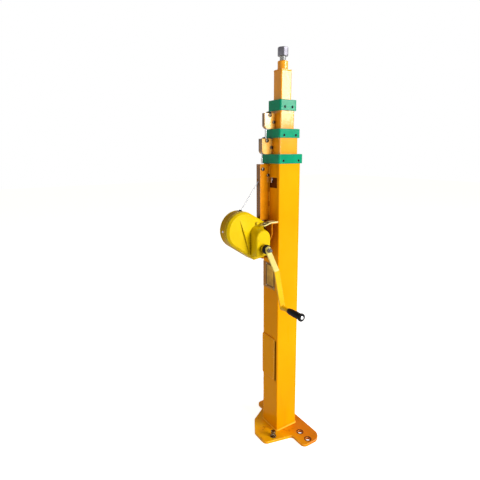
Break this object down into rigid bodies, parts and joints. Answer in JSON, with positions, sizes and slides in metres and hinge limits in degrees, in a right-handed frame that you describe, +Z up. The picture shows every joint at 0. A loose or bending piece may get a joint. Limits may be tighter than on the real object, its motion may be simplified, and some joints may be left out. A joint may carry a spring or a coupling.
{
  "type": "telescopic lifting mast",
  "caption": "Hand-winched telescopic lifting mast: nested square tubes with guide collars, rope pulleys, geared crank winch and a bolt-down base plate.",
  "frame": {"origin": "on the mast's axis, on the underside of the base plate", "axes": "+Z up the mast, -Y the winch side, +X the crank side"},
  "size_m": [0.3819, 0.3333, 1.514],
  "materials": {
    "mast_yellow": "satin yellow paint on steel",
    "winch_yellow": "glossier lemon yellow paint on sheet steel",
    "collar_green": "moulded green nylon",
    "nylon": "natural nylon",
    "zinc_steel": "bright zinc plate",
    "bright_steel": "bright nickel plate",
    "wire_rope": "laid galvanised wire",
    "gear_steel": "oiled bare steel",
    "pulley_nylon": "black nylon",
    "crank_steel": "yellow passivated zinc plate",
    "black_plastic": "moulded black plastic",
    "black_rubber": "moulded rubber",
    "bush_bronze": "sintered bronze",
    "friction_lining": "pressed friction lining"
  },
  "bodies": {
    "mast": {"base_plate": "mast_yellow", "plate_bolts": "zinc_steel", "outer_tube": "mast_yellow", "collar_1": "collar_green", "collar_1_screws": "zinc_steel", "rope_channel": "mast_yellow", "channel_bolts": "zinc_steel", "rope_2_eye": "zinc_steel", "lead_rope": "wire_rope", "standoff_bracket": "mast_yellow", "pin_shelf": "mast_yellow", "winch_frame": "winch_yellow", "winch_bolts": "zinc_steel", "drum_shell": "winch_yellow", "gear_cover": "winch_yellow", "brake_cover": "winch_yellow", "rope_grommet": "black_rubber", "bushes": "bush_bronze", "pawl_pin": "zinc_steel"},
    "lead_pulley": {"lead_pulley": "pulley_nylon"},
    "stage_2": {"tube_2": "mast_yellow", "shoe_2": "nylon", "collar_2": "collar_green", "collar_2_screws": "zinc_steel", "bracket_2": "mast_yellow", "axles_2": "zinc_steel", "rope_1_run": "wire_rope", "rope_2_outer": "wire_rope", "rope_2_over": "wire_rope", "rope_3_eye": "zinc_steel"},
    "outer_roller_2": {"outer_roller_2": "pulley_nylon"},
    "inner_roller_2": {"inner_roller_2": "pulley_nylon"},
    "stage_3": {"tube_3": "mast_yellow", "shoe_3": "nylon", "collar_3": "collar_green", "collar_3_screws": "zinc_steel", "bracket_3": "mast_yellow", "axles_3": "zinc_steel", "rope_2_run": "wire_rope", "rope_3_outer": "wire_rope", "rope_3_over": "wire_rope"},
    "outer_roller_3": {"outer_roller_3": "pulley_nylon"},
    "inner_roller_3": {"inner_roller_3": "pulley_nylon"},
    "stage_4": {"top_tube": "mast_yellow", "shoe_4": "nylon", "top_cap": "mast_yellow", "top_stud": "bright_steel", "head_nut": "bright_steel", "rope_3_run": "wire_rope"},
    "drum": {"winch_drum": "zinc_steel", "drum_gear": "gear_steel"},
    "crank": {"pinion_shaft": "gear_steel", "friction_discs": "friction_lining", "crank_arm": "crank_steel", "crank_nut": "zinc_steel", "hub_collar": "black_plastic", "grip_cap": "zinc_steel"},
    "ratchet": {"ratchet_wheel": "gear_steel"},
    "pawl": {"pawl": "gear_steel"},
    "grip": {"crank_grip": "black_plastic"}
  },
  "joints": [
    {"name": "stage_2_lift", "type": "slide", "parent": "mast", "child": "stage_2", "axis": [0, 0, 1], "range_m": [0, 0.9], "deforming": ["rope_1_run", "rope_2_outer"]},
    {"name": "stage_3_lift", "type": "slide", "parent": "stage_2", "child": "stage_3", "axis": [0, 0, 1], "range_m": [0, 0.9], "deforming": ["rope_2_run", "rope_3_outer"]},
    {"name": "stage_4_lift", "type": "slide", "parent": "stage_3", "child": "stage_4", "axis": [0, 0, 1], "range_m": [0, 0.9], "deforming": ["rope_3_run"]},
    {"name": "lead_pulley_turn", "type": "hinge", "parent": "mast", "child": "lead_pulley", "pos_m": [-0.026, -0.05675, 1.064], "axis": [1, 0, 0], "range_deg": [0, 4300]},
    {"name": "outer_roller_2_turn", "type": "hinge", "parent": "stage_2", "child": "outer_roller_2", "pos_m": [-0.0165, -0.068, 1.1895], "axis": [1, 0, 0], "range_deg": [0, 4300]},
    {"name": "inner_roller_2_turn", "type": "hinge", "parent": "stage_2", "child": "inner_roller_2", "pos_m": [-0.0165, -0.04775, 1.1655], "axis": [1, 0, 0], "range_deg": [0, 4300]},
    {"name": "outer_roller_3_turn", "type": "hinge", "parent": "stage_3", "child": "outer_roller_3", "pos_m": [-0.008, -0.056, 1.2795], "axis": [1, 0, 0], "range_deg": [0, 4300]},
    {"name": "inner_roller_3_turn", "type": "hinge", "parent": "stage_3", "child": "inner_roller_3", "pos_m": [-0.008, -0.03875, 1.2555], "axis": [1, 0, 0], "range_deg": [0, 4300]},
    {"name": "drum_turn", "type": "hinge", "parent": "mast", "child": "drum", "pos_m": [-0.023, -0.17777, 0.86682], "axis": [1, 0, 0], "range_deg": [0, 1520]},
    {"name": "crank_turn", "type": "hinge", "parent": "mast", "child": "crank", "pos_m": [0.04, -0.122, 0.804], "axis": [1, 0, 0], "range_deg": [-3795, 0]},
    {"name": "ratchet_turn", "type": "hinge", "parent": "mast", "child": "ratchet", "pos_m": [0.02705, -0.122, 0.804], "axis": [1, 0, 0], "continuous": true},
    {"name": "pawl_lift", "type": "hinge", "parent": "mast", "child": "pawl", "pos_m": [0.02705, -0.14187, 0.8358], "axis": [1, 0, 0], "range_deg": [0, 25], "stiffness_Nm_per_rad": 0.05, "springref_deg": -11.46},
    {"name": "grip_turn", "type": "hinge", "parent": "crank", "child": "grip", "pos_m": [0.19, -0.07869, 0.58525], "axis": [1, 0, 0], "continuous": true}
  ],
  "couplings": [
    {"joint": "stage_3_lift", "follows": "stage_2_lift", "ratio": 1},
    {"joint": "stage_4_lift", "follows": "stage_2_lift", "ratio": 1},
    {"joint": "lead_pulley_turn", "follows": "stage_2_lift", "rad_per_m": 83.333},
    {"joint": "outer_roller_2_turn", "follows": "stage_2_lift", "rad_per_m": 83.333},
    {"joint": "inner_roller_2_turn", "follows": "stage_2_lift", "rad_per_m": 83.333},
    {"joint": "outer_roller_3_turn", "follows": "stage_2_lift", "rad_per_m": 83.333},
    {"joint": "inner_roller_3_turn", "follows": "stage_2_lift", "rad_per_m": 83.333},
    {"joint": "drum_turn", "follows": "stage_2_lift", "rad_per_m": 29.412},
    {"joint": "crank_turn", "follows": "stage_2_lift", "rad_per_m": -73.529}
  ]
}
